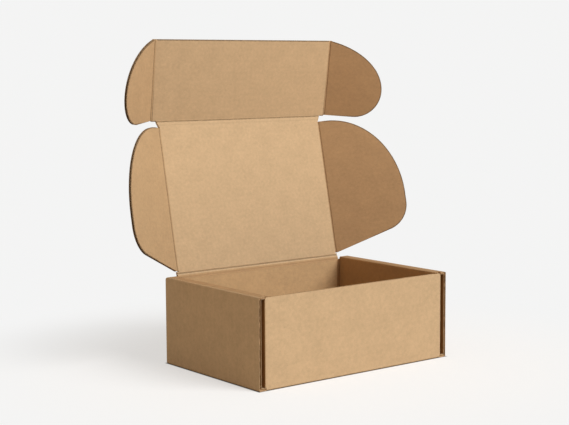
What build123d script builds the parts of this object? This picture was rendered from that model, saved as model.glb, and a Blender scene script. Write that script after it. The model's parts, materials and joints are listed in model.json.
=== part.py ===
from build123d import *
import os
from math import acos, cos, degrees, radians, sin, tan

os.makedirs("parts", exist_ok=True)

# A one-piece die-cut mailing box of single-wall corrugated board, in millimetres.
# X runs left to right, Y from the front wall to the back wall, Z up.
# The origin is the centre of the base's underside.

# The outside of the folded tray
box_width = 250.0
box_depth = 163.0
box_height = 92.0
front_wall_drop = 0.8

# The board
board = 2.8
liner = 0.35
flute_pitch = 6.2
flute_web = 0.45
fold_outside = 1.3
fold_inside = 0.2
layer_gap = 0.2
crease_gap = 0.2

# The rolled side walls, from the outside in: outer wall, ear slot, corner flap, inner wall
ear_slot = 4.4
crushed_strip = 2.0
corner_flap_length = 60.0
raw_corner_radius = 3.5
tab_length = 36.0
tab_spacing = 76.0
tab_clearance = 0.3

# The lid's back edge: a narrow strip between two creases, then the lid panel
back_strip = 4.5
back_strip_open = 120.0
back_strip_closed = 69.0
lid_angle_open = 102.0
lid_clearance = 0.3
wing_clearance = 0.3

# The lid's front edge: another narrow strip between two creases, then the front flap
front_strip = 4.0
front_strip_closed = 35.0
front_strip_flare = 7.0
flap_clearance = 1.0

# The lid's wings, which stand inside the side walls of the closed box
wing_fold_open = 33.0
wing_width = 90.0
wing_top_inset = 2.4
wing_top_run = 8.4
wing_widest = 62.0
wing_corner_radius = 31.0
wing_slant = 15.6

# The front flap and its ears, which slide into the slots at the front corners
flap_fold_open = 20.0
flap_length = 88.0
ear_fold_open = 34.5
ear_width = 65.0
ear_widest = 33.0
ear_taper_start = 22.0
ear_clearance = 0.3

# The wings and ears show open flute ends along their cuts, and stay solid near the crease
flute_start = 8.0

# Depth of the open gap between the liners where a cut runs along the flutes
cut_gap_depth = 1.2

# How far a cutting block stands past what it cuts
spare = 1.0

# Places worked out from the sizes above
half_board = board / 2
crease_relief = half_board + crease_gap
front = -box_depth / 2
back = box_depth / 2
side = box_width / 2
slot_outside = side - board
slot_inside = slot_outside - ear_slot
corner_flap_mid = slot_inside - half_board
inner_wall_outside = slot_inside - board - layer_gap
inner_wall_inside = inner_wall_outside - board
rear_flap_mid = slot_outside - layer_gap - half_board
strip_underside = box_height - crushed_strip
under_strip = box_height - board - layer_gap
lid_crease_height = box_height + lid_clearance + half_board
wall_crease_height = lid_crease_height - back_strip * sin(radians(back_strip_closed))
wall_crease_y = back - half_board
closed_lid_y = wall_crease_y - back_strip * cos(radians(back_strip_closed))
closed_flap_y = front - flap_clearance - half_board
closed_flap_height = lid_crease_height - front_strip * sin(radians(front_strip_closed))
closed_lip_y = closed_flap_y + front_strip * cos(radians(front_strip_closed))
lid_length = closed_lid_y - closed_lip_y
lid_half_width = inner_wall_inside - wing_clearance - half_board
flap_half_width = slot_inside + ear_slot / 2
ear_bottom = closed_flap_height - strip_underside + ear_clearance


def mitred(points, distance):
    """The points moved sideways by a distance, each corner to where its two sides meet."""
    places = [Vector(*point) for point in points]
    runs = [(after - before).normalized() for before, after in zip(places, places[1:])]
    normals = [Vector(-run.Y, run.X) for run in runs]
    found = []
    for place, first, second in zip(places, [normals[0], *normals], [*normals, normals[-1]]):
        found.append(place + (first + second) * (distance / (1 + first.dot(second))))
    return found


def folded_ribbon(points, thickness, outside, inside):
    """A folded board's section: its outer liner turns on a wider radius than its inner one."""
    half = thickness / 2
    sides = [mitred(points, half), mitred(points, -half)]
    ribbon = make_face(Polyline(*sides[0], *reversed(sides[1]), close=True))
    corners = list(zip(points, points[1:], points[2:], sides[0][1:-1], sides[1][1:-1]))
    for before, here, after, left_corner, right_corner in corners:
        turn = (Vector(*here) - Vector(*before)).cross(Vector(*after) - Vector(*here)).Z
        inner, outer = (left_corner, right_corner) if turn > 0 else (right_corner, left_corner)
        for corner, radius in ((inner, inside), (outer, outside)):
            ribbon = fillet(ribbon.vertices().sort_by_distance(corner)[0], radius)
    return ribbon


def folded_board(plane, points, start, length):
    """A board that follows the points on the plane, extruded along the plane's normal."""
    ribbon = folded_ribbon(points, board, fold_outside, fold_inside)
    return extrude(plane.offset(start) * ribbon, amount=length, dir=plane.z_dir)


def block(x_range, y_range, z_range):
    """A box between three pairs of limits."""
    corner = (x_range[0], y_range[0], z_range[0])
    size = (x_range[1] - x_range[0], y_range[1] - y_range[0], z_range[1] - z_range[0])
    return Pos(*corner) * Box(*size, align=(Align.MIN, Align.MIN, Align.MIN))


def rolled_side():
    """The right side: base edge, outer wall, top strip and inner wall, as one strip of board."""
    wall_mid = side - half_board
    inner_mid = inner_wall_inside + half_board
    points = [
        (corner_flap_mid, half_board),
        (wall_mid, half_board),
        (wall_mid, box_height - half_board),
        (inner_mid, box_height - half_board),
        (inner_mid, board + layer_gap),
    ]
    roll = folded_board(Plane.XZ, points, -back, box_depth)
    # The strip between its two creases is crushed thinner from below.
    roll -= block((inner_wall_outside, slot_outside), (front, back), (box_height - board, strip_underside))
    # Both raw ends are open between the liners.
    gap = folded_ribbon(points, board - 2 * liner, fold_outside - liner, fold_inside + liner)
    crushed = block((inner_wall_outside, slot_outside), (front, back), (under_strip, strip_underside + liner))
    for start in (-back, -front - cut_gap_depth):
        open_end = extrude(Plane.XZ.offset(start) * gap, amount=cut_gap_depth, dir=Plane.XZ.z_dir)
        roll -= open_end - crushed
    # The inner wall stops short of the front and back walls, under the raw ends of the roll.
    clear_end = board + layer_gap
    for y_range in ((front, front + clear_end), (back - clear_end, back)):
        roll -= block((inner_wall_inside - spare, slot_inside), y_range, (board, box_height + spare))
    # The raw upper corner at the back is cut round.
    outline = Plane.YZ * Pos(0, box_height / 2) * Rectangle(box_depth, box_height)
    rear_top = outline.vertices().sort_by(Axis.Z)[-2:].sort_by(Axis.Y)[-1]
    outline = fillet(rear_top, raw_corner_radius)
    return roll & extrude(outline, amount=side, dir=(1, 0, 0))


def tab_places(height):
    """Where the right inner wall's two tabs stand."""
    x = inner_wall_inside + half_board
    return [Pos(x, y, height) for y in (-tab_spacing / 2, tab_spacing / 2)]


def locking_tabs():
    """The tabs at the foot of the right inner wall, which pass through the base."""
    foot = Box(board, tab_length, board + 2 * layer_gap, align=(Align.CENTER, Align.CENTER, Align.MIN))
    return Part() + [place * foot for place in tab_places(layer_gap)]


def tab_slots():
    """The slots that the locking tabs sit in."""
    width = board + 2 * tab_clearance
    length = tab_length + 2 * tab_clearance
    slot = Box(width, length, 4 * board)
    return Part() + [place * slot for place in tab_places(0)]


def end_wall(flap_mid, y_outer, inward, top):
    """The front or back wall: it rises from the base and turns inward at both corner flaps."""
    wall_mid = y_outer + inward * half_board
    rise = [
        (wall_mid + inward * corner_flap_length, half_board),
        (wall_mid, half_board),
        (wall_mid, top),
    ]
    panel = folded_board(Plane.YZ, rise, -flap_mid, 2 * flap_mid)
    flap_end = wall_mid + inward * corner_flap_length
    plan = [(-flap_mid, flap_end), (-flap_mid, wall_mid), (flap_mid, wall_mid), (flap_mid, flap_end)]
    flaps = folded_board(Plane.XY, plan, board + layer_gap, top - board - layer_gap)
    wall = panel + flaps
    # The corner flaps end below the top strip, and the wall's two upper corners are eased.
    behind = sorted((y_outer + inward * (board + layer_gap / 2), y_outer + inward * box_depth))
    wall -= block((-side, side), behind, (under_strip, box_height + board))
    # The cut along the wall's top is open between the liners.
    gap_half = flap_mid - raw_corner_radius
    between = sorted((y_outer + inward * liner, y_outer + inward * (board - liner)))
    wall -= block((-gap_half, gap_half), between, (top - cut_gap_depth, top + spare))
    outline = Plane.XZ * Pos(0, top / 2) * Rectangle(2 * (flap_mid + half_board), top)
    outline = fillet(outline.vertices().group_by(Axis.Z)[-1], raw_corner_radius)
    return wall & extrude(outline, amount=box_depth, both=True)


def make_tray():
    """The folded tray: base, front and back walls with their corner flaps, rolled side walls."""
    roll = rolled_side()
    floor_half = corner_flap_mid
    floor_edge = box_depth / 2 - board - fold_inside
    floor = block((-floor_half, floor_half), (-floor_edge, floor_edge), (0, board))
    floor -= tab_slots() + mirror(tab_slots(), about=Plane.YZ)
    front_wall = end_wall(corner_flap_mid, front, 1, box_height - front_wall_drop)
    back_wall = end_wall(rear_flap_mid, back, -1, box_height)
    # The back wall ends at the lid's hinge, and its shoulders stop under the rolled strips.
    hinge_notch = block(
        (-lid_half_width - crease_gap, lid_half_width + crease_gap),
        (back - 2 * board, back + board),
        (wall_crease_height - crease_relief, 2 * box_height),
    )
    shoulders = block((-side, side), (back - 2 * board, back + board), (under_strip, 2 * box_height))
    back_wall -= hinge_notch + shoulders
    tray = floor + front_wall + back_wall + roll + mirror(roll, about=Plane.YZ)
    tray -= tab_slots() + mirror(tab_slots(), about=Plane.YZ)
    return tray + locking_tabs() + mirror(locking_tabs(), about=Plane.YZ)


def crease_round(length):
    """The rounded edge of a panel along its crease, from the crease's start along Y."""
    return Rot(-90, 0, 0) * Cylinder(half_board, length, align=(Align.CENTER, Align.CENTER, Align.MIN))


def hinged_panel(half_width, length, flare=0):
    """A flat panel whose crease lies along X at the local origin; local Z is its inner side."""
    end = length - crease_relief
    outline = Polyline(
        (-half_width, 0),
        (half_width, 0),
        (half_width + flare, end),
        (-half_width - flare, end),
        close=True,
    )
    sheet = extrude(make_face(outline), amount=half_board, both=True)
    spine = Rot(0, 90, 0) * Cylinder(half_board, 2 * half_width)
    return sheet + spine


def flute_channels(low, high, reach):
    """Triangular flute passages along local X, between the two liners, from low to high on Y."""
    inner = half_board - liner
    count = int((high - low) / flute_pitch)
    channel = Plane.YZ * make_face(
        Polyline(
            (flute_web, -inner),
            (flute_pitch - flute_web, -inner),
            (flute_pitch / 2, inner - flute_web),
            close=True,
        )
    )
    lower = extrude(channel, amount=reach, dir=(1, 0, 0))
    upper = Pos(0, flute_pitch / 2, 0) * mirror(lower, about=Plane.XY)
    pair = Part() + lower + upper
    places = [Pos(flute_start, low + index * flute_pitch, 0) for index in range(count)]
    return Part() + [place * pair for place in places]


def side_flap(outline, crease_from, crease_to, reach):
    """A side flap on local X, Y, creased along Y; its flutes are open along the cut outline."""
    sheet = extrude(outline, amount=half_board, both=True)
    spine = Pos(0, crease_from, 0) * crease_round(crease_to - crease_from)
    return sheet + spine - flute_channels(crease_from, crease_to, reach)


def wing_outline():
    """The wing: a slanted lower edge, a round lower corner and a long elliptical shoulder."""
    top = lid_length - wing_top_inset
    centre = (wing_width - wing_corner_radius, wing_widest - wing_corner_radius / 3)
    turn = 90 - wing_slant
    corner = CenterArc(centre, wing_corner_radius, -turn, turn)
    low = corner @ 0
    crease_foot = low.Y - low.X * tan(radians(wing_slant))
    shoulder = EllipticalCenterArc(
        (wing_top_run, wing_widest), wing_width - wing_top_run, top - wing_widest, 0, arc_size=90
    )
    edges = [
        Line((0, crease_foot), low),
        corner,
        Line(corner @ 1, shoulder @ 0),
        shoulder,
        Line(shoulder @ 1, (0, top)),
        Line((0, top), (0, crease_foot)),
    ]
    return make_face(edges), crease_foot, top


def ear_outline():
    """The ear: widest near the lid's crease and tapering to the flap's free edge."""
    taper_radius = ear_width + ear_taper_start
    end_angle = acos(ear_taper_start / taper_radius)
    taper_height = (flap_length - ear_widest) / sin(end_angle)
    taper = EllipticalCenterArc(
        (-ear_taper_start, ear_widest), taper_radius, taper_height, 0, arc_size=degrees(end_angle)
    )
    corner_radius = ear_widest - ear_bottom
    corner = CenterArc((ear_width - corner_radius, ear_widest), corner_radius, -90, 90)
    edges = [
        Line((0, ear_bottom), corner @ 0),
        corner,
        taper,
        Line(taper @ 1, (0, ear_bottom)),
    ]
    return make_face(edges), ear_bottom, flap_length


def panel_plane(origin, opening):
    """The plane of a panel that opens by an angle from lying forward; its normal faces inside."""
    turned = radians(opening)
    return Plane(origin, x_dir=(1, 0, 0), z_dir=(0, -sin(turned), -cos(turned)))


def placed(panel, plane):
    """A panel moved from its own flat axes to its place on the box."""
    return plane.location * panel


def side_place(half_width, fold):
    """The place of a right side flap on its parent panel, folded inward."""
    return Pos(half_width, 0, 0) * Rot(0, -fold, 0)


def save(node, shape, colour):
    """One named STEP for each piece."""
    solid = shape.solids()[0]
    solid.label = node
    solid.color = Color(*colour)
    export_step(solid, f"parts/{node}.step")
    return solid


kraft = (0.76, 0.6, 0.42)
kraft_dark = (0.66, 0.49, 0.32)

tray = make_tray()

wall_crease = (0, wall_crease_y, wall_crease_height)
back_strip_plane = panel_plane(wall_crease, back_strip_open)
lid_crease = back_strip_plane.from_local_coords((0, back_strip, 0))
lid_plane = panel_plane(lid_crease, lid_angle_open)
lip_crease = lid_plane.from_local_coords((0, lid_length, 0))
front_strip_plane = panel_plane(lip_crease, lid_angle_open)
flap_crease = front_strip_plane.from_local_coords((0, front_strip, 0))
flap_plane = panel_plane(flap_crease, lid_angle_open - flap_fold_open)

lid_back_strip = placed(hinged_panel(lid_half_width, back_strip), back_strip_plane)
lid_panel = hinged_panel(lid_half_width - crease_relief, lid_length)
lid = placed(lid_panel, lid_plane)
lid_front_strip = placed(hinged_panel(lid_half_width, front_strip, front_strip_flare), front_strip_plane)

wing_face, wing_foot, wing_top = wing_outline()
wing_flap = side_flap(wing_face, wing_foot, wing_top, wing_width)
wing = placed(side_place(lid_half_width, wing_fold_open) * wing_flap, lid_plane)

flap_panel = hinged_panel(flap_half_width - crease_relief, flap_length + crease_relief)
flap_gap_half = flap_half_width - crease_relief - spare
flap_gap_depths = (flap_length - cut_gap_depth, flap_length + spare)
flap_panel -= block((-flap_gap_half, flap_gap_half), flap_gap_depths, (liner - half_board, half_board - liner))
front_flap = placed(flap_panel, flap_plane)

ear_face, ear_foot, ear_top = ear_outline()
ear_flap = side_flap(ear_face, ear_foot, ear_top, ear_width)
ear = placed(side_place(flap_half_width, ear_fold_open) * ear_flap, flap_plane)

save("tray", tray, kraft)
save("lid_back_strip", lid_back_strip, kraft)
save("lid", lid, kraft)
save("lid_front_strip", lid_front_strip, kraft)
save("wing_right", wing, kraft_dark)
save("wing_left", mirror(wing, about=Plane.YZ), kraft_dark)
save("front_flap", front_flap, kraft)
save("ear_right", ear, kraft_dark)
save("ear_left", mirror(ear, about=Plane.YZ), kraft_dark)

print("wall crease", [round(value, 3) for value in wall_crease])
print("lid crease", [round(value, 3) for value in lid_crease])
print("lip crease", [round(value, 3) for value in lip_crease])
print("flap crease", [round(value, 3) for value in flap_crease])
print("lid half width", lid_half_width, "flap half width", flap_half_width)
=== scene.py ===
import bmesh
import bpy
import json
import math
import random
from mathutils import Euler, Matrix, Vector
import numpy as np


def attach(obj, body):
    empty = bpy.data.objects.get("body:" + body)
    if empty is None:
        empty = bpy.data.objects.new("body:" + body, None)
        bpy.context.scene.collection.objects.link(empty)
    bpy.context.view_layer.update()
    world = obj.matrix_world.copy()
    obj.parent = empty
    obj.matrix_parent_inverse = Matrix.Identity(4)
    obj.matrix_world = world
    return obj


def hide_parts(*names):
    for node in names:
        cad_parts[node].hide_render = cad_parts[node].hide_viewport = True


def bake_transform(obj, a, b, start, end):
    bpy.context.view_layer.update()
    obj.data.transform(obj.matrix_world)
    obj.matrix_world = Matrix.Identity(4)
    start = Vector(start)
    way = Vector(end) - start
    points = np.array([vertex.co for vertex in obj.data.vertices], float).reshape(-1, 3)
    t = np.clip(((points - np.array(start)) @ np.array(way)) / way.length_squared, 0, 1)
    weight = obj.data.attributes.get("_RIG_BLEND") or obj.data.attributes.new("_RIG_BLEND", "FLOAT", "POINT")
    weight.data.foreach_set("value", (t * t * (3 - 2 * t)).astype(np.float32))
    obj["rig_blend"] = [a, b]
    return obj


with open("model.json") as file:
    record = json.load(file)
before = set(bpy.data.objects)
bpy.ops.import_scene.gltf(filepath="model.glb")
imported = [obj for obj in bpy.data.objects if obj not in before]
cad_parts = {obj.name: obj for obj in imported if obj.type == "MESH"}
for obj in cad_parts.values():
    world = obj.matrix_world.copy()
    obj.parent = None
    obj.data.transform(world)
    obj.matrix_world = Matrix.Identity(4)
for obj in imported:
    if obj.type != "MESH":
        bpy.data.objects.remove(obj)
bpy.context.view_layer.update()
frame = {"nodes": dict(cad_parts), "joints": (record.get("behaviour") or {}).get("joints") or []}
joints = {joint["name"]: joint for joint in frame["joints"]}
mm = 0.001
cadWidth = 250 * mm
cadDepth = 163 * mm

# One sheet of single-wall board, the same for every panel
board = {
    "thickness": 2.8 * mm,
    "liner": 0.35 * mm,
    "medium": 0.22 * mm,
    "flutePitch": 6.2 * mm,
    "fluteSamples": 14,
    "cutCrush": 0.28 * mm,  # how far the die presses the liners together at a cut
    "cutRim": 1.3 * mm,
    "cutRecess": 0.35 * mm,  # the medium ends this far inside the cut
    "mediumRaw": 0.5,
    "mergeDistance": 0.002 * mm,
    "linerSharpDegrees": 35,
    "fluteSharpDegrees": 50,
}
halfBoard = board["thickness"] / 2
# the medium's wave fills what the liners leave, and pinch is the share of its height left at a cut
fluteHeight = halfBoard - board["liner"] - board["medium"]
pinch = 1 - board["cutCrush"] / fluteHeight
xAxis = Vector((1, 0, 0))


def jointPoint(name):
    return Vector(joints[name]["pos_m"])


# Panels: where each one lies, as directions across, along and inward


def panelFrame(origin, across, along, side=1):
    return {"origin": origin, "across": across, "along": along, "inward": side * across.cross(along)}


def sideFrame(parent, jointName, side):
    fold = math.radians(joints[jointName]["range_deg"][1])
    across = side * math.cos(fold) * xAxis + math.sin(fold) * parent["inward"]
    return panelFrame(jointPoint(jointName), across, parent["along"], side)


def panelPoint(panel, u, v, w):
    return panel["origin"] + u * panel["across"] + v * panel["along"] + w * panel["inward"]


lidAlong = Vector(joints["wing_right_crease"]["axis"]).normalized()
flapAlong = Vector(joints["ear_right_crease"]["axis"]).normalized()
wallPanel = panelFrame(jointPoint("lid_rear_crease"), xAxis, Vector((0, 0, 1)))
backStripAlong = (jointPoint("lid_main_crease") - jointPoint("lid_rear_crease")).normalized()
backStripPanel = panelFrame(jointPoint("lid_rear_crease"), xAxis, backStripAlong)
lidPanel = panelFrame(jointPoint("lid_main_crease"), xAxis, lidAlong)
lipPanel = panelFrame(jointPoint("front_edge_crease"), xAxis, lidAlong)
flapPanel = panelFrame(jointPoint("front_flap_crease"), xAxis, flapAlong)

backStripLength = (jointPoint("lid_main_crease") - jointPoint("lid_rear_crease")).length
lidLength = (jointPoint("front_edge_crease") - jointPoint("lid_main_crease")).length
lipLength = (jointPoint("front_flap_crease") - jointPoint("front_edge_crease")).length
lidHalfWidth = jointPoint("wing_right_crease").x
flapHalfWidth = jointPoint("ear_right_crease").x
flapStart = lidLength + lipLength
print("frame read: lid", round(lidLength / mm, 1), "mm long")


# Materials


def link(tree, source, target):
    tree.links.new(source, target)


def socket(group, name, kind, inOut, value=None):
    made = group.interface.new_socket(name, in_out=inOut, socket_type="NodeSocket" + kind)
    if value is not None:
        made.default_value = value
    return made


def node(tree, kind, **settings):
    made = tree.nodes.new(kind)
    for key, value in settings.items():
        setattr(made, key, value)
    return made


def math2(tree, operation, first, second=None, clamp=False):
    made = node(tree, "ShaderNodeMath", operation=operation, use_clamp=clamp)
    for index, value in enumerate((first, second)):
        if value is None:
            continue
        if isinstance(value, (int, float)):
            made.inputs[index].default_value = value
        else:
            link(tree, value, made.inputs[index])
    return made.outputs[0]


def noise(tree, vector, values):
    made = node(tree, "ShaderNodeTexNoise")
    made.inputs["Scale"].default_value = values["scale"]
    made.inputs["Detail"].default_value = values["detail"]
    made.inputs["Roughness"].default_value = values["roughness"]
    link(tree, vector, made.inputs["Vector"])
    return made.outputs["Fac"]


def stretched(tree, vector, values):
    made = node(tree, "ShaderNodeMapping")
    made.inputs["Scale"].default_value = values["stretch"]
    link(tree, vector, made.inputs["Vector"])
    return made.outputs["Vector"]


def centred(tree, value, amount):
    return math2(tree, "MULTIPLY", math2(tree, "SUBTRACT", value, 0.5), amount)


def ramp(tree, value, low, high):
    made = node(tree, "ShaderNodeMapRange")
    made.inputs["From Min"].default_value = low
    made.inputs["From Max"].default_value = high
    link(tree, value, made.inputs["Value"])
    return made.outputs[0]


def colorMix(tree, share, first, second):
    # first and second are colours or sockets
    made = node(tree, "ShaderNodeMix", data_type="RGBA")
    link(tree, share, made.inputs["Factor"])
    for name, value in (("A", first), ("B", second)):
        if isinstance(value, (tuple, list)):
            made.inputs[name].default_value = value
        else:
            link(tree, value, made.inputs[name])
    return made.outputs["Result"]


# Each pattern of the paper; amount is how far it moves the shade, height how far it lifts the surface
paper = {
    "clouds": {"scale": 55, "detail": 3, "roughness": 0.5, "amount": 0.20},
    "mottle": {"scale": 300, "detail": 3, "roughness": 0.6, "amount": 0.30, "height": 0.4},
    "fibres": {
        "stretch": (260, 2600, 2600),
        "scale": 1,
        "detail": 4,
        "roughness": 0.65,
        "amount": 0.26,
        "height": 0.5,
    },
    "crossing": {
        "stretch": (2400, 420, 2400),
        "scale": 1,
        "detail": 3,
        "roughness": 0.6,
        "amount": 0.14,
    },
    "flecks": {"scale": 900, "detail": 1, "roughness": 0.5},
    "fleckFrom": 0.66,
    "fleckGain": 0.96,
    "paintedFluteShade": 0.006,
    "fluteHeight": 0.10,
}


def paperGroup():
    # The liner's fibres, clouds, flecks and the flutes that show through, as a bump and as a slight painted
    # shade: a shade around 1 and a height
    group = bpy.data.node_groups.new("kraftPaper", "ShaderNodeTree")
    socket(group, "Place", "Vector", "INPUT")
    socket(group, "FluteRun", "Float", "INPUT", 0.0)
    socket(group, "Shade", "Float", "OUTPUT")
    socket(group, "Height", "Float", "OUTPUT")
    inputs = node(group, "NodeGroupInput")
    outputs = node(group, "NodeGroupOutput")
    place = inputs.outputs["Place"]
    clouds = noise(group, place, paper["clouds"])
    mottle = noise(group, place, paper["mottle"])
    fibres = noise(group, stretched(group, place, paper["fibres"]), paper["fibres"])
    crossing = noise(group, stretched(group, place, paper["crossing"]), paper["crossing"])
    flecks = noise(group, place, paper["flecks"])
    dark = math2(group, "SUBTRACT", flecks, paper["fleckFrom"], clamp=True)
    dark = math2(group, "MULTIPLY", dark, paper["fleckGain"])
    turns = math2(group, "MULTIPLY", inputs.outputs["FluteRun"], 2 * math.pi / board["flutePitch"])
    flute = math2(group, "SINE", turns)
    shade = math2(group, "ADD", 1.0, centred(group, clouds, paper["clouds"]["amount"]))
    for value, amount in (
        (mottle, paper["mottle"]["amount"]),
        (fibres, paper["fibres"]["amount"]),
        (crossing, paper["crossing"]["amount"]),
    ):
        shade = math2(group, "ADD", shade, centred(group, value, amount))
    # painted shade of the flutes' ripple
    shade = math2(group, "ADD", shade, math2(group, "MULTIPLY", flute, paper["paintedFluteShade"]))
    shade = math2(group, "SUBTRACT", shade, dark)
    link(group, shade, outputs.inputs["Shade"])
    fibreLift = math2(group, "MULTIPLY", fibres, paper["fibres"]["height"])
    mottleLift = math2(group, "MULTIPLY", mottle, paper["mottle"]["height"])
    fluteLift = math2(group, "MULTIPLY", flute, paper["fluteHeight"])
    height = math2(group, "ADD", math2(group, "ADD", fibreLift, mottleLift), fluteLift)
    link(group, height, outputs.inputs["Height"])
    return group


cutPaper = {"scale": 1300, "detail": 3, "roughness": 0.7, "tornFrom": 0.28, "tornGain": 2.2}


def edgeGroup():
    # A cut's colour: torn fibres, lighter and darker along the edge
    group = bpy.data.node_groups.new("cutEdge", "ShaderNodeTree")
    socket(group, "Place", "Vector", "INPUT")
    socket(group, "Liner", "Color", "INPUT", (0.6, 0.4, 0.2, 1))
    socket(group, "Cut", "Color", "INPUT", (0.4, 0.25, 0.1, 1))
    socket(group, "Raw", "Float", "INPUT", 0.0)
    socket(group, "Color", "Color", "OUTPUT")
    inputs = node(group, "NodeGroupInput")
    outputs = node(group, "NodeGroupOutput")
    torn = noise(group, inputs.outputs["Place"], cutPaper)
    torn = math2(group, "SUBTRACT", torn, cutPaper["tornFrom"])
    torn = math2(group, "MULTIPLY", torn, cutPaper["tornGain"], clamp=True)
    amount = math2(group, "MULTIPLY", inputs.outputs["Raw"], torn, clamp=True)
    color = colorMix(group, amount, inputs.outputs["Liner"], inputs.outputs["Cut"])
    link(group, color, outputs.inputs["Color"])
    return group


# Where the tray's painted shade begins and ends: from its middle, or from the floor for a height. The depths
# are from its front and back faces
trayTone = {
    "outside": (1, 1, 1, 1),
    # painted shade on the tray's inner faces
    "inside": (0.86, 0.80, 0.71, 1),
    "foldFrom": (123.0 * mm, 79.7 * mm),
    "foldTo": (124.6 * mm, 81.2 * mm),
    # painted shade on the rolled walls' inner faces, and a lighter painted shade on their tops
    "roll": (0.60, 0.49, 0.37, 1),
    "rollFrom": 108.5 * mm,
    "rollTop": (0.66, 0.57, 0.48, 1),
    "rollTopHeight": 91.4 * mm,
    # painted shade in the ear slots
    "slot": (0.58, 0.43, 0.26, 1),
    "slotFrom": 117.4 * mm,
    "slotTo": 122.6 * mm,
    "slotDepth": 0.4 * mm,
    "slotLow": board["thickness"] + 0.1 * mm,
    "slotHigh": 90.2 * mm,
    "rawDepth": 0.08 * mm,
    "rawEndFrom": 121.9 * mm,
    "frontTopBefore": -78.6 * mm,
    "frontTopHeight": 91.12 * mm,
    "sideWallFrom": lidHalfWidth + 4 * mm,
}


def trayGroup():
    # Painted shade: the tray's inner faces are painted darker than its outer face, the rolled walls' inner
    # faces darker again and a little less at their tops, and the ear slots darker still
    group = bpy.data.node_groups.new("trayPlaces", "ShaderNodeTree")
    socket(group, "Place", "Vector", "INPUT")
    socket(group, "Tone", "Color", "OUTPUT")
    socket(group, "Raw", "Float", "OUTPUT")
    inputs = node(group, "NodeGroupInput")
    outputs = node(group, "NodeGroupOutput")
    split = node(group, "ShaderNodeSeparateXYZ")
    link(group, inputs.outputs["Place"], split.inputs[0])
    height = split.outputs["Z"]
    outX = math2(group, "ABSOLUTE", split.outputs["X"])
    outY = math2(group, "ABSOLUTE", split.outputs["Y"])
    outsideX = ramp(group, outX, trayTone["foldFrom"][0], trayTone["foldTo"][0])
    outsideY = ramp(group, outY, trayTone["foldFrom"][1], trayTone["foldTo"][1])
    inside = math2(group, "SUBTRACT", 1.0, math2(group, "MAXIMUM", outsideX, outsideY))
    inSlot = math2(group, "GREATER_THAN", outX, trayTone["slotFrom"])
    for operation, value, limit in (
        ("LESS_THAN", outX, trayTone["slotTo"]),
        ("LESS_THAN", outY, cadDepth / 2 - trayTone["slotDepth"]),
        ("LESS_THAN", height, trayTone["slotHigh"]),
        ("GREATER_THAN", height, trayTone["slotLow"]),
    ):
        inSlot = math2(group, "MULTIPLY", inSlot, math2(group, operation, value, limit))
    # painted shade: where it goes on the inner faces, the rolled walls, their tops and the slots
    onRoll = math2(group, "GREATER_THAN", outX, trayTone["rollFrom"])
    onTop = math2(group, "GREATER_THAN", height, trayTone["rollTopHeight"])
    tone = colorMix(group, onRoll, trayTone["inside"], trayTone["roll"])
    tone = colorMix(group, math2(group, "MULTIPLY", onRoll, onTop), tone, trayTone["rollTop"])
    tone = colorMix(group, inside, trayTone["outside"], tone)
    tone = colorMix(group, inSlot, tone, trayTone["slot"])
    link(group, tone, outputs.inputs["Tone"])
    # The cut faces: the four raw ends of the rolled sides, and the front wall's top
    atEnd = math2(group, "GREATER_THAN", outY, cadDepth / 2 - trayTone["rawDepth"])
    rawEnd = math2(group, "MULTIPLY", atEnd, math2(group, "GREATER_THAN", outX, trayTone["rawEndFrom"]))
    frontTop = math2(group, "LESS_THAN", split.outputs["Y"], trayTone["frontTopBefore"])
    betweenSlots = math2(group, "LESS_THAN", outX, trayTone["slotFrom"])
    frontTop = math2(group, "MULTIPLY", frontTop, betweenSlots)
    atTop = math2(group, "GREATER_THAN", height, trayTone["frontTopHeight"])
    frontTop = math2(group, "MULTIPLY", frontTop, atTop)
    link(group, math2(group, "MAXIMUM", rawEnd, frontTop), outputs.inputs["Raw"])
    return group


kraftPaper = paperGroup()
cutEdge = edgeGroup()
trayPlaces = trayGroup()

kraft = {
    "liner": (0.622, 0.438, 0.257, 1),
    # the cut's own darker colour, deepened with painted shade of the flutes' hollows; creases and the medium
    # take it too
    "cut": (0.22, 0.148, 0.082, 1),
    "roughness": 0.82,
    "specular": 0.22,
    "bumpDistance": 0.06 * mm,
    "bumpStrength": 0.55,
}

# Painted shade and light: the open panels are painted a little darker toward the lid's hinge, and the flap
# is painted paler toward its right end
paintedShadeAndLight = {"depth": 0.115, "reach": 125 * mm, "flapSlope": 0.45}


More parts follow.
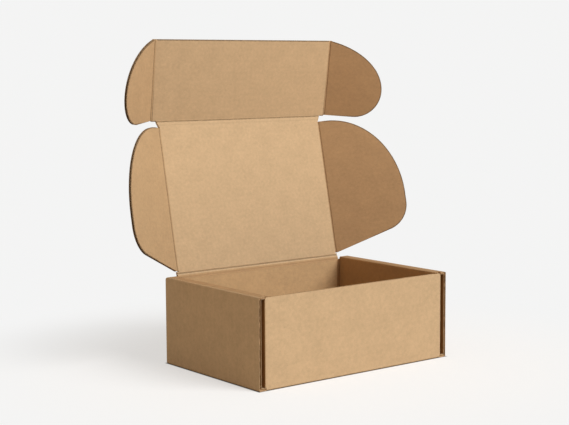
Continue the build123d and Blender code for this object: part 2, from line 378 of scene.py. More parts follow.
def kraftMaterial(name, tone, fromMap=True, slope=0.0):
    # fromMap: the piece has its own board map and raw and outer attributes, as all have but the tray
    material = bpy.data.materials.new(name)
    material.use_nodes = True
    tree = material.node_tree
    shader = tree.nodes["Principled BSDF"]
    shader.inputs["Roughness"].default_value = kraft["roughness"]
    shader.inputs["Specular IOR Level"].default_value = kraft["specular"]
    coordinates = node(tree, "ShaderNodeTexCoord")
    place = coordinates.outputs["UV" if fromMap else "Object"]
    fibresOf = node(tree, "ShaderNodeGroup", node_tree=kraftPaper)
    link(tree, place, fibresOf.inputs["Place"])
    split = node(tree, "ShaderNodeSeparateXYZ")
    link(tree, place, split.inputs[0])
    if fromMap:
        link(tree, split.outputs["Y"], fibresOf.inputs["FluteRun"])
        raw = node(tree, "ShaderNodeAttribute", attribute_name="raw").outputs["Fac"]
    else:
        # On the folded tray the flutes lie along the floor and stand upright in the side walls
        outX = math2(tree, "ABSOLUTE", split.outputs["X"])
        onSide = math2(tree, "GREATER_THAN", outX, trayTone["sideWallFrom"])
        upright = math2(tree, "MULTIPLY", split.outputs["Z"], math2(tree, "SUBTRACT", 1.0, onSide))
        link(tree, math2(tree, "ADD", split.outputs["Y"], upright), fibresOf.inputs["FluteRun"])
        places = node(tree, "ShaderNodeGroup", node_tree=trayPlaces)
        link(tree, place, places.inputs["Place"])
        raw = places.outputs["Raw"]
    # the tone is painted shade on the inner face; the outer face keeps the plain liner
    toned = [c * t for c, t in zip(kraft["liner"], (*tone, 1))]
    outer = node(tree, "ShaderNodeAttribute", attribute_name="outer")
    edge = node(tree, "ShaderNodeGroup", node_tree=cutEdge)
    edge.inputs["Cut"].default_value = [c * t for c, t in zip(kraft["cut"], (*tone, 1))]
    link(tree, colorMix(tree, outer.outputs["Fac"], toned, kraft["liner"]), edge.inputs["Liner"])
    link(tree, coordinates.outputs["Object"], edge.inputs["Place"])
    link(tree, raw, edge.inputs["Raw"])
    color = edge.outputs["Color"]
    shade = fibresOf.outputs["Shade"]
    if fromMap:
        # painted shade toward the lid's hinge, and painted light toward the flap's right end
        fromHinge = math2(tree, "DIVIDE", split.outputs["Y"], paintedShadeAndLight["reach"])
        nearHinge = math2(tree, "SUBTRACT", 1.0, fromHinge, clamp=True)
        shade = math2(tree, "SUBTRACT", shade, math2(tree, "MULTIPLY", nearHinge, paintedShadeAndLight["depth"]))
        shade = math2(tree, "ADD", shade, math2(tree, "MULTIPLY", split.outputs["X"], slope))
    else:
        placed = node(tree, "ShaderNodeVectorMath", operation="MULTIPLY")
        link(tree, color, placed.inputs[0])
        link(tree, places.outputs["Tone"], placed.inputs[1])
        color = placed.outputs[0]
    scaled = node(tree, "ShaderNodeVectorMath", operation="SCALE")
    link(tree, color, scaled.inputs[0])
    link(tree, shade, scaled.inputs["Scale"])
    link(tree, scaled.outputs[0], shader.inputs["Base Color"])
    bump = node(tree, "ShaderNodeBump")
    bump.inputs["Distance"].default_value = kraft["bumpDistance"]
    bump.inputs["Strength"].default_value = kraft["bumpStrength"]
    link(tree, fibresOf.outputs["Height"], bump.inputs["Height"])
    link(tree, bump.outputs[0], shader.inputs["Normal"])
    return material


# Painted shade: each tone darkens a piece's inner face, and all of the medium; the flap, hinge strip, wings
# and ears are painted darker than plain board, the right wing and ear more than the left
paintedShadeTones = {
    "tray": (1.0, 1.0, 1.0),
    "lid": (1.0, 1.0, 1.0),
    "flap": (0.955, 0.935, 0.92),
    "hinge": (0.82, 0.73, 0.63),
    "wing_left": (0.84, 0.79, 0.73),
    "wing_right": (0.74, 0.64, 0.55),
    "ear_left": (0.86, 0.80, 0.74),
    "ear_right": (0.80, 0.69, 0.60),
    "medium": (0.62, 0.54, 0.46),
}
trayKraft = kraftMaterial("kraft_tray", paintedShadeTones["tray"], fromMap=False)
lidKraft = kraftMaterial("kraft_lid", paintedShadeTones["lid"])
flapKraft = kraftMaterial("kraft_flap", paintedShadeTones["flap"], slope=paintedShadeAndLight["flapSlope"])
hingeKraft = kraftMaterial("kraft_hinge", paintedShadeTones["hinge"])
sideKraft = {}
for name in ("wing_left", "wing_right", "ear_left", "ear_right"):
    sideKraft[name] = kraftMaterial("kraft_" + name, paintedShadeTones[name])
mediumKraft = kraftMaterial("kraft_medium", paintedShadeTones["medium"])
print("materials made")


# Mesh helpers


def newMesh():
    mesh = bmesh.new()
    mesh.verts.layers.float_vector.new("flat")
    mesh.verts.layers.float.new("raw")
    mesh.verts.layers.float.new("outer")
    return mesh


def addPoint(mesh, place, flat, raw=0.0, outer=0.0):
    vertex = mesh.verts.new(place)
    vertex[mesh.verts.layers.float_vector["flat"]] = (flat[0], flat[1], 0)
    vertex[mesh.verts.layers.float["raw"]] = raw
    vertex[mesh.verts.layers.float["outer"]] = outer
    return vertex


def bridge(mesh, lower, upper):
    for i in range(len(lower)):
        j = (i + 1) % len(lower)
        mesh.faces.new((lower[i], lower[j], upper[j], upper[i]))


def finishPiece(mesh, name, body, material):
    bmesh.ops.recalc_face_normals(mesh, faces=mesh.faces)
    flat = mesh.verts.layers.float_vector["flat"]
    uv = mesh.loops.layers.uv.new("board")
    for face in mesh.faces:
        face.smooth = True
        for loop in face.loops:
            loop[uv].uv = loop.vert[flat].xy
    data = bpy.data.meshes.new(name)
    mesh.to_mesh(data)
    mesh.free()
    data.materials.append(material)
    piece = bpy.data.objects.new(name, data)
    bpy.context.scene.collection.objects.link(piece)
    data.set_sharp_from_angle(angle=math.radians(board["linerSharpDegrees"]))
    if body:
        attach(piece, body)
    return piece


# Flat panels: two liners, pressed together a little where the board is cut


def insetPoint(outline, index, distance):
    before = Vector(outline[index - 1])
    here = Vector(outline[index])
    after = Vector(outline[(index + 1) % len(outline)])
    turn = ((here - before).normalized() + (after - here).normalized()).normalized()
    return here + distance * Vector((-turn.y, turn.x))


# Over a cut rim: the share of the rim's width, the height, the share of the crush and how raw it looks
linerUnder = halfBoard - board["liner"]
rimSteps = [
    (1.0, halfBoard, 0.0, 0.0),
    (0.75, halfBoard, 0.1, 1.6),
    (0.0, halfBoard, 1.0, 2.0),
    (0.0, linerUnder, 1.0, 2.0),
    (1.0, linerUnder, 0.0, 0.6),
]


def addLiner(mesh, panel, outline, cuts, flatStart, face):
    # outline runs counter-clockwise; cuts holds 1 at a cut point and 0 at a crease
    rings = []
    for inset, height, drop, raw in rimSteps:
        ring = []
        for index, cut in enumerate(cuts):
            u, v = insetPoint(outline, index, inset * board["cutRim"] * cut)
            w = face * (height - drop * cut * board["cutCrush"])
            flat = (flatStart[0] + u, flatStart[1] + v)
            ring.append(addPoint(mesh, panelPoint(panel, u, v, w), flat, raw * cut, float(face < 0)))
        rings.append(ring)
    for lower, upper in zip(rings, rings[1:]):
        bridge(mesh, lower, upper)
    mesh.faces.new(rings[0])
    mesh.faces.new(rings[-1])


def makePanel(name, body, panel, outline, cuts, flatStart, material, node):
    mesh = newMesh()
    for face in (1, -1):
        addLiner(mesh, panel, outline, cuts, flatStart, face)
    piece = finishPiece(mesh, name, body, material)
    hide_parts(node)


# Geometry Nodes: a flat sheet becomes the wavy medium between the liners


def fluteTree():
    tree = bpy.data.node_groups.new("fluteSheet", "GeometryNodeTree")
    socket(tree, "Geometry", "Geometry", "INPUT")
    socket(tree, "Pitch", "Float", "INPUT", board["flutePitch"])
    socket(tree, "Height", "Float", "INPUT", fluteHeight)
    socket(tree, "Paper", "Float", "INPUT", board["medium"])
    socket(tree, "Material", "Material", "INPUT")
    socket(tree, "Geometry", "Geometry", "OUTPUT")
    inputs = node(tree, "NodeGroupInput")
    outputs = node(tree, "NodeGroupOutput")
    run = node(tree, "GeometryNodeInputNamedAttribute", data_type="FLOAT")
    run.inputs["Name"].default_value = "run"
    fit = node(tree, "GeometryNodeInputNamedAttribute", data_type="FLOAT")
    fit.inputs["Name"].default_value = "fit"
    turns = math2(tree, "DIVIDE", run.outputs["Attribute"], inputs.outputs["Pitch"])
    wave = math2(tree, "SINE", math2(tree, "MULTIPLY", turns, 2 * math.pi))
    height = math2(tree, "MULTIPLY", inputs.outputs["Height"], fit.outputs["Attribute"])
    lift = math2(tree, "MULTIPLY", wave, height)
    normal = node(tree, "GeometryNodeInputNormal")
    offset = node(tree, "ShaderNodeVectorMath", operation="SCALE")
    link(tree, normal.outputs[0], offset.inputs[0])
    link(tree, lift, offset.inputs["Scale"])
    moved = node(tree, "GeometryNodeSetPosition")
    link(tree, inputs.outputs["Geometry"], moved.inputs["Geometry"])
    link(tree, offset.outputs[0], moved.inputs["Offset"])
    thick = node(tree, "GeometryNodeExtrudeMesh", mode="FACES")
    thick.inputs["Individual"].default_value = False
    link(tree, moved.outputs[0], thick.inputs["Mesh"])
    link(tree, inputs.outputs["Paper"], thick.inputs["Offset Scale"])
    under = node(tree, "GeometryNodeFlipFaces")
    link(tree, moved.outputs[0], under.inputs[0])
    joined = node(tree, "GeometryNodeJoinGeometry")
    link(tree, thick.outputs["Mesh"], joined.inputs[0])
    link(tree, under.outputs[0], joined.inputs[0])
    merged = node(tree, "GeometryNodeMergeByDistance")
    merged.inputs["Distance"].default_value = board["mergeDistance"]
    link(tree, joined.outputs[0], merged.inputs["Geometry"])
    real = node(tree, "GeometryNodeRealizeInstances")
    link(tree, merged.outputs[0], real.inputs[0])
    painted = node(tree, "GeometryNodeSetMaterial")
    link(tree, real.outputs[0], painted.inputs["Geometry"])
    link(tree, inputs.outputs["Material"], painted.inputs["Material"])
    link(tree, painted.outputs[0], outputs.inputs["Geometry"])
    return tree


fluteSheet = fluteTree()


def setInput(modifier, name, value):
    for item in modifier.node_group.interface.items_tree:
        if item.item_type == "SOCKET" and item.in_out == "INPUT" and item.name == name:
            modifier[item.identifier] = value


def makeFlutes(name, body, rows):
    # rows: a grid of (place, run, fit, flat) records; the tree bends it into flutes
    points = [point for row in rows for point in row]
    count = len(rows[0])
    faces = []
    for i in range(len(rows) - 1):
        for j in range(count - 1):
            a = i * count + j
            faces.append((a, a + 1, a + count + 1, a + count))
    data = bpy.data.meshes.new(name + "_flat")
    data.from_pydata([point[0] for point in points], [], faces)
    for key, index in (("run", 1), ("fit", 2)):
        attribute = data.attributes.new(key, "FLOAT", "POINT")
        attribute.data.foreach_set("value", [point[index] for point in points])
    raw = data.attributes.new("raw", "FLOAT", "POINT")
    raw.data.foreach_set("value", [board["mediumRaw"]] * len(points))
    uv = data.uv_layers.new(name="board")
    for loop in data.loops:
        uv.data[loop.index].uv = points[loop.vertex_index][3]
    source = bpy.data.objects.new(name + "_flat", data)
    bpy.context.scene.collection.objects.link(source)
    modifier = source.modifiers.new("flutes", "NODES")
    modifier.node_group = fluteSheet
    setInput(modifier, "Height", fluteHeight)
    setInput(modifier, "Paper", board["medium"])
    setInput(modifier, "Pitch", board["flutePitch"])
    setInput(modifier, "Material", mediumKraft)
    bpy.context.view_layer.update()
    depsgraph = bpy.context.evaluated_depsgraph_get()
    mesh = bpy.data.meshes.new_from_object(source.evaluated_get(depsgraph))
    source.modifiers.remove(modifier)
    bpy.data.objects.remove(source)
    piece = bpy.data.objects.new(name, mesh)
    mesh.name = name
    for polygon in mesh.polygons:
        polygon.use_smooth = True
    mesh.set_sharp_from_angle(angle=math.radians(board["fluteSharpDegrees"]))
    bpy.context.scene.collection.objects.link(piece)
    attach(piece, body)


def sheetRecord(panel, u, v, run, fit, flatStart):
    # a point on the board's middle, with its place along the wave and on the unfolded sheet
    place = panelPoint(panel, u, v, 0)
    return (place, run, fit, (flatStart[0] + u, flatStart[1] + v))


leastFlute = {"length": 0.2 * mm, "toRim": 0.1 * mm, "rimPinch": 0.15}


def edgeFlutes(name, body, panel, lowV, highV, startU, outerU, flatStart):
    # flutes that run along u from the crease to the outline, open at the cut
    step = board["flutePitch"] / board["fluteSamples"]
    count = max(2, round((highV - lowV) / step))
    rows = []
    for index in range(count + 1):
        v = lowV + (highV - lowV) * index / count
        end = max(outerU(v) - board["cutRecess"], startU + leastFlute["length"])
        rim = max(end - board["cutRim"], startU + leastFlute["toRim"])
        atRim = 1 - leastFlute["rimPinch"] * (1 - pinch)
        row = [(startU, 1.0), (rim, atRim), (end, pinch)]
        rows.append([sheetRecord(panel, u, v, v, fit, flatStart) for u, fit in row])
    makeFlutes(name, body, rows)


# Creases: the board bends round the line and is pressed thinner on its inner side

crease = {
    "steps": 14,
    "runStep": 6 * mm,
    "grooveWidth": 0.75 * mm,
    "wobble": 0.10 * mm,
    "outerShare": 0.25,  # how much of the groove shows as a hollow on the outer face
    # shade and faintShade: how strongly a crease's groove is painted with shade
    "shade": 1.25,
    "faintShade": 0.2,
    "seed": 7,
}
random.seed(crease["seed"])


def makeCrease(
    name,
    bodies,
    origin,
    runDirection,
    span,
    sideA,
    sideB,
    depth,
    flatOf,
    material,
    width=None,
    shade=crease["shade"],
):
    # sideA and sideB: (direction away from the crease, inward normal, half width); width scales the run
    # over the crease, and flatOf gives a point's place on the unfolded sheet
    mesh = newMesh()
    directionA, inwardA, halfA = sideA
    directionB, inwardB, halfB = sideB
    count = max(2, round((span[1] - span[0]) / crease["runStep"]))
    wobbles = [random.uniform(-1, 1) * crease["wobble"] for _ in range(count + 1)]
    rings = []
    for index in range(count + 1):
        share = index / count
        inner, outer = [], []
        for step in range(crease["steps"] + 1):
            part = step / crease["steps"]
            s = -halfA + (halfA + halfB) * part
            run = span[0] + (span[1] - span[0]) * share
            if width:
                run *= width(s)
            bend = (1 - part) ** 2 * halfA * directionA + part**2 * halfB * directionB
            normal = (inwardA * (1 - part) + inwardB * part).normalized()
            groove = depth * math.exp(-(((s - wobbles[index]) / crease["grooveWidth"]) ** 2))
            middle = origin + run * runDirection + bend
            flat = flatOf(run, s)
            # painted shade: the groove on the inner side takes the dark cut colour
            creaseShade = shade * groove / depth
            inner.append(addPoint(mesh, middle + (halfBoard - groove) * normal, flat, creaseShade))
            hollow = crease["outerShare"] * groove
            outer.append(addPoint(mesh, middle - (halfBoard - hollow) * normal, flat, 0.0, 1.0))
        rings.append(inner + outer[::-1])
    for lower, upper in zip(rings, rings[1:]):
        bridge(mesh, lower, upper)
    mesh.faces.new(rings[0])
    mesh.faces.new(rings[-1])
    piece = finishPiece(mesh, name, None, material)
    start = origin + halfA * directionA
    end = origin + halfB * directionB
    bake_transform(piece, bodies[0], bodies[1], start=start, end=end)
    return piece


# The lid, its two narrow strips and its creases

lid = {
    "creaseHalf": 2.2 * mm,
    "sideCreaseHalf": 2.0 * mm,
    "backDepth": 0.75 * mm,
    "wallDepth": 0.35 * mm,
    "edgeDepth": 0.08 * mm,
    "flapDepth": 0.55 * mm,
    "wallReach": 1.6 * mm,
}
stripHalf = backStripLength / 2
lipHalf = lipLength / 2

makeCrease(
    "lid_wall_crease",
    ("tray", "lid_back_strip"),
    wallPanel["origin"],
    xAxis,
    (-lidHalfWidth, lidHalfWidth),
    (-wallPanel["along"], wallPanel["inward"], lid["wallReach"]),
    (backStripPanel["along"], backStripPanel["inward"], stripHalf),
    lid["wallDepth"],
    lambda run, s: (run, s - backStripLength),
    hingeKraft,
    shade=crease["faintShade"],
)
backCrease = makeCrease(
    "lid_main_crease_fold",
    ("lid_back_strip", "lid"),
    lidPanel["origin"],
    xAxis,
    (-lidHalfWidth, lidHalfWidth),
    (-backStripPanel["along"], backStripPanel["inward"], stripHalf),
    (lidPanel["along"], lidPanel["inward"], lid["creaseHalf"]),
    lid["backDepth"],
    lambda run, s: (run, s),
    lidKraft,
)
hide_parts("lid_back_strip")

# The strip keeps near the lid's width; the front flap steps out beyond it
stripFlare = {
    "low": lidHalfWidth - 1.2 * mm,
    "middle": lidHalfWidth + 0.6 * mm,
    "high": lidHalfWidth + 2.2 * mm,
}


def stripWidth(first, last):
    def width(s):
        share = min(1, max(0, (s + lipHalf) / (2 * lipHalf)))
        return (first + (last - first) * share) / lidHalfWidth

    return width


makeCrease(
    "front_edge_fold",
    ("lid", "lid_front_strip"),
    lipPanel["origin"],
    xAxis,
    (-lidHalfWidth, lidHalfWidth),
    (-lidPanel["along"], lidPanel["inward"], lid["sideCreaseHalf"]),
    (lipPanel["along"], lipPanel["inward"], lipHalf),
    lid["edgeDepth"],
    lambda run, s: (run, lidLength + s),
    lidKraft,
    stripWidth(stripFlare["low"], stripFlare["middle"]),
    crease["faintShade"],
)
flapCrease = makeCrease(
    "front_flap_fold",
    ("lid_front_strip", "front_flap"),
    flapPanel["origin"],
    xAxis,
    (-lidHalfWidth, lidHalfWidth),
    (-lipPanel["along"], lipPanel["inward"], lipHalf),
    (flapPanel["along"], flapPanel["inward"], lid["sideCreaseHalf"]),
    lid["flapDepth"],
    lambda run, s: (run, flapStart + s),
    lidKraft,
    stripWidth(stripFlare["middle"], stripFlare["high"]),
)
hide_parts("lid_front_strip")


def rectangle(halfWidth, low, high):
    return [(-halfWidth, low), (halfWidth, low), (halfWidth, high), (-halfWidth, high)]


lidBoardHalf = lidHalfWidth - lid["sideCreaseHalf"]
lidOutline = rectangle(lidBoardHalf, lid["creaseHalf"], lidLength - lid["sideCreaseHalf"])
makePanel("lid_board", "lid", lidPanel, lidOutline, [0, 0, 0, 0], (0, 0), lidKraft, "lid")
print("lid made")


# Curves shared by the side flaps


def arcPoints(centre, radii, first, last, count):
    found = []
    for index in range(count + 1):
        angle = math.radians(first + (last - first) * index / count)
        found.append((centre[0] + radii[0] * math.cos(angle), centre[1] + radii[1] * math.sin(angle)))
    return found


def outerReach(outline):
    # how far out the cut outline lies at a height along the crease
    pairs = sorted((v, u) for u, v in outline)

    def reach(v):
        for (v0, u0), (v1, u1) in zip(pairs, pairs[1:]):
            if v0 <= v <= v1 and v1 > v0:
                return u0 + (u1 - u0) * (v - v0) / (v1 - v0)
        return pairs[0][1] if v < pairs[0][0] else pairs[-1][1]

    return reach


def makeSideFlap(name, parent, jointName, side, outline, half, parentBody, flatStart, material, depth):
    panel = sideFrame(parent, jointName, side)
    inner = [(half, outline[0][1]), *outline[1:-1], (half, outline[-1][1])]
    cuts = [0, *[1] * (len(outline) - 2), 0]
    flat = (side * flatStart[0], flatStart[1])
    makePanel(name + "_board", name, panel, inner, cuts, flat, material, name)
    lowV = outline[0][1] + board["cutRecess"]
    highV = outline[-1][1] - board["cutRecess"]
    edgeFlutes(name + "_flutes", name, panel, lowV, highV, half, outerReach(outline), flat)
    makeCrease(
        name + "_fold",
        (parentBody, name),
        panel["origin"],
        panel["along"],
        (outline[0][1], outline[-1][1]),
        (-side * xAxis, parent["inward"], half),
        (panel["across"], panel["inward"], half),
        depth,
        lambda run, s: (flat[0] + side * s, flat[1] + run),
        material,
    )


# Wings on the lid

wing = {
    "width": 90 * mm,
    "topInset": 2.4 * mm,
    "topRun": 8.4 * mm,
    "widest": 62 * mm,
    "cornerRadius": 31 * mm,
    "cornerDrop": 3,  # the corner's centre lies a third of its radius below the widest point
    "slantDegrees": 15.6,
    "cornerSteps": 24,
    "shoulderSteps": 60,
    "creaseDepth": 0.5 * mm,
}


def wingOutline():
    radius = wing["cornerRadius"]
    centre = (wing["width"] - radius, wing["widest"] - radius / wing["cornerDrop"])
    top = lidLength - wing["topInset"]
    corner = arcPoints(centre, (radius, radius), wing["slantDegrees"] - 90, 0, wing["cornerSteps"])
    low = corner[0]
    foot = low[1] - low[0] * math.tan(math.radians(wing["slantDegrees"]))
    shoulderRadii = (wing["width"] - wing["topRun"], top - wing["widest"])
    shoulder = arcPoints((wing["topRun"], wing["widest"]), shoulderRadii, 0, 90, wing["shoulderSteps"])
    return [(0, foot), *corner, *shoulder, (0, top)]


for side, name in ((1, "wing_right"), (-1, "wing_left")):
    makeSideFlap(
        name,
        lidPanel,
        name + "_crease",
        side,
        wingOutline(),
        lid["sideCreaseHalf"],
        "lid",
        (lidHalfWidth, 0),
        sideKraft[name],
        wing["creaseDepth"],
    )
print("wings made")


# The front flap and its ears

flap = {
    "length": 88 * mm,
    "foot": 0.7 * mm,
    "footStep": 0.6 * mm,
    "topInset": 1.5 * mm,
    "topSkew": 0.010,  # the cut crosses the flutes at a slight angle
    "acrossStep": 4 * mm,
    "fluteRows": 40,
}
flapWidth = flapHalfWidth - lid["sideCreaseHalf"]
topCorner = flapWidth - flap["topInset"]
foldTop = lid["sideCreaseHalf"]
rightHalf = [
    (stripFlare["high"], foldTop, 0),
    (stripFlare["high"] + flap["footStep"], flap["foot"], 1),
    (flapWidth, flap["foot"], 1),
    (flapWidth, flap["length"], 0),
    (topCorner, flap["length"], 1),
]
leftHalf = [(-u, v, cut) for u, v, cut in reversed(rightHalf)]
flapOutline = [(u, v) for u, v, cut in rightHalf + leftHalf]
flapCuts = [cut for u, v, cut in rightHalf + leftHalf]
flapFlat = (0, flapStart)
makePanel(
    "front_flap_board", "front_flap", flapPanel, flapOutline, flapCuts, flapFlat, flapKraft, "front_flap"
)


def flapFlutes():
    rows = []
    step = board["flutePitch"] / board["fluteSamples"]
    top = flap["length"] - board["cutRecess"]
    count = flap["fluteRows"]
    acrossCount = round(2 * topCorner / flap["acrossStep"])
    for i in range(count + 1):
        v = top - step * (count - i)
        inward = (top - v) / board["cutRim"]
        fit = 1 if top - v > board["cutRim"] else pinch + (1 - pinch) * inward
        row = []
        for j in range(acrossCount + 1):
            u = -topCorner + 2 * topCorner * j / acrossCount
            row.append(sheetRecord(flapPanel, u, v, v + flap["topSkew"] * u, fit, flapFlat))
        rows.append(row)
    makeFlutes("front_flap_flutes", "front_flap", rows)


flapFlutes()

ear = {
    "width": 65 * mm,
    "widest": 33 * mm,
    "taperStart": 22 * mm,
    "bottom": 1.7 * mm,
    "cornerSteps": 24,
    "taperSteps": 40,
    "creaseDepth": 0.5 * mm,
}


def earOutline():
    radius = ear["widest"] - ear["bottom"]
    taperRadius = ear["width"] + ear["taperStart"]
    endAngle = math.acos(ear["taperStart"] / taperRadius)
    taperHeight = (flap["length"] - ear["widest"]) / math.sin(endAngle)
    cornerCentre = (ear["width"] - radius, ear["widest"])
    corner = arcPoints(cornerCentre, (radius, radius), -90, 0, ear["cornerSteps"])
    taperCentre = (-ear["taperStart"], ear["widest"])
    taperRadii = (taperRadius, taperHeight)
    taper = arcPoints(taperCentre, taperRadii, 0, math.degrees(endAngle), ear["taperSteps"])
    return [(0, ear["bottom"]), *corner, *taper[1:]]


for side, name in ((1, "ear_right"), (-1, "ear_left")):
    makeSideFlap(
        name,
        flapPanel,
        name + "_crease",
        side,
        earOutline(),
        lid["sideCreaseHalf"],
        "front_flap",
        (flapHalfWidth, flapStart),
        sideKraft[name],
        ear["creaseDepth"],
    )
print("front flap and ears made")


# The tray keeps its own folded shape

trayNode = frame["nodes"]["tray"]
trayNode.data.materials.clear()
trayNode.data.materials.append(trayKraft)
# the plain solids that the pieces above replace are of the same board
for name in ("lid_back_strip", "lid_front_strip", "lid", "front_flap"):
    frame["nodes"][name].data.materials.clear()
    frame["nodes"][name].data.materials.append(trayKraft)


# The open gaps between the tray's liners; wanders gives the height and length of two waves along each
trayCuts = {
    "gapDepth": 1.2 * mm,
    "gapRows": 5,
    "alongStep": 1.5 * mm,
    "leastSteps": 8,
    "endLow": 2.0 * mm,
    "endHigh": 89.2 * mm,
    "frontTopHalf": 112.4 * mm,
    "frontTopHeight": 91.2 * mm,
    "wanders": (
        (2.1 * mm, 9.0 * mm, 1.3 * mm, 3.7 * mm),
        (1.8 * mm, 7.3 * mm, 1.6 * mm, 3.1 * mm),
        (2.3 * mm, 11.0 * mm, 1.2 * mm, 4.1 * mm),
        (1.9 * mm, 8.1 * mm, 1.5 * mm, 3.4 * mm),
    ),
}


def gapFlutes(name, panel, halfLength, wander):
    # the medium in a gap along the cut: it wanders between the liners
    rows = []
    depth = trayCuts["gapDepth"] - board["cutRecess"]
    alongCount = max(trayCuts["leastSteps"], round(2 * halfLength / trayCuts["alongStep"]))
    for i in range(trayCuts["gapRows"] + 1):
        v = -board["cutRecess"] - depth * (1 - i / trayCuts["gapRows"])
        row = []
        for j in range(alongCount + 1):
            u = -halfLength + 2 * halfLength * j / alongCount
            drift = wander[0] * math.sin(u / wander[1]) + wander[2] * math.sin(u / wander[3] + 1)
            row.append(sheetRecord(panel, u, v, v + drift, 1.0, (0, 0)))
        rows.append(row)
    makeFlutes(name, "tray", rows)


def trayFlutes():
    zAxis = Vector((0, 0, 1))
    half = (trayCuts["endHigh"] - trayCuts["endLow"]) / 2
    middle = (trayCuts["endHigh"] + trayCuts["endLow"]) / 2
    wallMid = cadWidth / 2 - halfBoard
    ends = ((1, -1, "front_right"), (-1, -1, "front_left"), (1, 1, "back_right"), (-1, 1, "back_left"))
    for (side, end, name), wander in zip(ends, trayCuts["wanders"]):
        origin = Vector((side * wallMid, end * cadDepth / 2, middle))
        panel = panelFrame(origin, zAxis, Vector((0, end, 0)), side)
        gapFlutes("raw_end_" + name, panel, half, wander)
    origin = Vector((0, -cadDepth / 2 + halfBoard, trayCuts["frontTopHeight"]))
    panel = panelFrame(origin, xAxis, zAxis)
    gapFlutes("front_wall_top_flutes", panel, trayCuts["frontTopHalf"], trayCuts["wanders"][0])


trayFlutes()
print("tray made")


# Floor, background, light and camera

room = {
    "background": (0.905, 0.905, 0.902, 1),
    "ambient": (0.345, 0.32, 0.29, 1),
    "floorSeen": (0.46, 0.46, 0.46, 1),
    "floorGlow": (0.545, 0.545, 0.543, 1),
    "floorBounce": (0.46, 0.39, 0.31, 1),
    "floorSize": 12.0,
    "fadeStart": 0.17,
    "fadeEnd": 0.44,
    # painted shadow under the box and along its foot
    "paintedContactShadow": (0.10, 0.075, 0.05, 1),
    "contactFrom": 0.1 * mm,
    "contactTo": 2.4 * mm,
}


def lightPathMix(tree, cameraShader, otherShader):
    path = node(tree, "ShaderNodeLightPath")
    seen = math2(tree, "MAXIMUM", path.outputs["Is Camera Ray"], path.outputs["Is Glossy Ray"])
    seen = math2(tree, "MAXIMUM", seen, path.outputs["Is Transmission Ray"])
    mix = node(tree, "ShaderNodeMixShader")
    link(tree, seen, mix.inputs[0])
    link(tree, otherShader, mix.inputs[1])
    link(tree, cameraShader, mix.inputs[2])
    return mix.outputs[0]


def makeFloor():
    size = room["floorSize"] / 2
    data = bpy.data.meshes.new("floor")
    corners = [(-size, -size, 0), (size, -size, 0), (size, size, 0), (-size, size, 0)]
    data.from_pydata(corners, [], [(0, 1, 2, 3)])
    floor = bpy.data.objects.new("floor", data)
    bpy.context.scene.collection.objects.link(floor)
    material = bpy.data.materials.new("floor_paper")
    material.use_nodes = True
    tree = material.node_tree
    tree.nodes.remove(tree.nodes["Principled BSDF"])
    near = node(tree, "ShaderNodeBsdfDiffuse")
    near.inputs["Color"].default_value = room["floorSeen"]
    glow = node(tree, "ShaderNodeEmission")
    glow.inputs["Color"].default_value = room["floorGlow"]
    lit = node(tree, "ShaderNodeAddShader")
    link(tree, near.outputs[0], lit.inputs[0])
    link(tree, glow.outputs[0], lit.inputs[1])
    # Away from the object the floor fades into the backdrop
    far = node(tree, "ShaderNodeEmission")
    far.inputs["Color"].default_value = room["background"]
    coordinates = node(tree, "ShaderNodeTexCoord")
    distance = node(tree, "ShaderNodeVectorMath", operation="LENGTH")
    link(tree, coordinates.outputs["Object"], distance.inputs[0])
    fade = node(tree, "ShaderNodeMapRange", interpolation_type="SMOOTHSTEP")
    fade.inputs["From Min"].default_value = room["fadeStart"]
    fade.inputs["From Max"].default_value = room["fadeEnd"]
    link(tree, distance.outputs["Value"], fade.inputs["Value"])
    openFloor = node(tree, "ShaderNodeMixShader")
    link(tree, fade.outputs[0], openFloor.inputs[0])
    link(tree, lit.outputs[0], openFloor.inputs[1])
    link(tree, far.outputs[0], openFloor.inputs[2])
    # Painted shadow: under the box, and in the thin line where it stands on the floor, the floor is painted
    # dark where no light comes in
    under = node(tree, "ShaderNodeBsdfDiffuse")
    under.inputs["Color"].default_value = room["paintedContactShadow"]
    split = node(tree, "ShaderNodeSeparateXYZ")
    link(tree, coordinates.outputs["Object"], split.inputs[0])
    # how far out from the box's footprint
    outX = math2(tree, "SUBTRACT", math2(tree, "ABSOLUTE", split.outputs["X"]), cadWidth / 2)
    outY = math2(tree, "SUBTRACT", math2(tree, "ABSOLUTE", split.outputs["Y"]), cadDepth / 2)
    away = ramp(tree, math2(tree, "MAXIMUM", outX, outY), room["contactFrom"], room["contactTo"])
    shown = node(tree, "ShaderNodeMixShader")
    link(tree, away, shown.inputs[0])
    link(tree, under.outputs[0], shown.inputs[1])
    link(tree, openFloor.outputs[0], shown.inputs[2])
    bounced = node(tree, "ShaderNodeBsdfDiffuse")
    bounced.inputs["Color"].default_value = room["floorBounce"]
    mixed = lightPathMix(tree, shown.outputs[0], bounced.outputs[0])
    link(tree, mixed, tree.nodes["Material Output"].inputs["Surface"])
    data.materials.append(material)


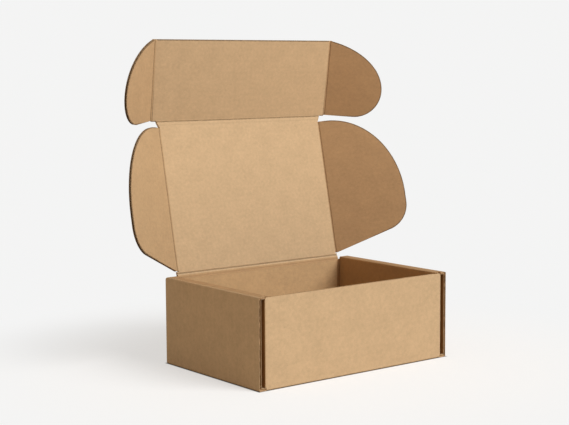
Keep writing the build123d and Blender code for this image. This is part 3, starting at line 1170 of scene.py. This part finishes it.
def makeWorld():
    world = bpy.data.worlds.new("studio")
    bpy.context.scene.world = world
    world.use_nodes = True
    tree = world.node_tree
    ambient = tree.nodes["Background"]
    ambient.inputs["Color"].default_value = room["ambient"]
    backdrop = node(tree, "ShaderNodeBackground")
    backdrop.inputs["Color"].default_value = room["background"]
    mixed = lightPathMix(tree, backdrop.outputs[0], ambient.outputs[0])
    link(tree, mixed, tree.nodes["World Output"].inputs["Surface"])


lamps = {
    "key": {
        "azimuth": 25,
        "elevation": 36,
        "strength": 2.55,
        "softness": 40,
        "color": (1.0, 0.995, 0.985),
    },
    "bounce": {
        "azimuth": -82,
        "elevation": 9,
        "strength": 0.30,
        "softness": 60,
        "color": (1.0, 0.62, 0.28),
    },
}


def makeLamps():
    for name, lamp in lamps.items():
        data = bpy.data.lights.new(name, "SUN")
        data.energy = lamp["strength"]
        data.angle = math.radians(lamp["softness"])
        data.color = lamp["color"]
        sun = bpy.data.objects.new(name, data)
        turned, raised = math.radians(lamp["azimuth"]), math.radians(lamp["elevation"])
        flatPart = math.cos(raised)
        toLamp = Vector((flatPart * math.sin(turned), -flatPart * math.cos(turned), math.sin(raised)))
        sun.rotation_euler = toLamp.to_track_quat("Z", "Y").to_euler()
        sun.location = toLamp
        bpy.context.scene.collection.objects.link(sun)


camera = {
    "place": (-0.8735, -1.0812, 0.3114),
    "tiltDegrees": 83.703,
    "rollDegrees": 0.328,
    "turnDegrees": -38.008,
    "lens": 83.93,
    "sensor": 36,
}


def makeCamera():
    data = bpy.data.cameras.new("camera")
    data.lens = camera["lens"]
    data.sensor_width = camera["sensor"]
    made = bpy.data.objects.new("camera", data)
    made.location = camera["place"]
    turns = (camera["tiltDegrees"], camera["rollDegrees"], camera["turnDegrees"])
    made.rotation_euler = Euler([math.radians(value) for value in turns])
    bpy.context.scene.collection.objects.link(made)
    bpy.context.scene.camera = made


makeFloor()
makeWorld()
makeLamps()
makeCamera()
bpy.context.scene.view_settings.view_transform = "Standard"
print("floor, light and camera set")
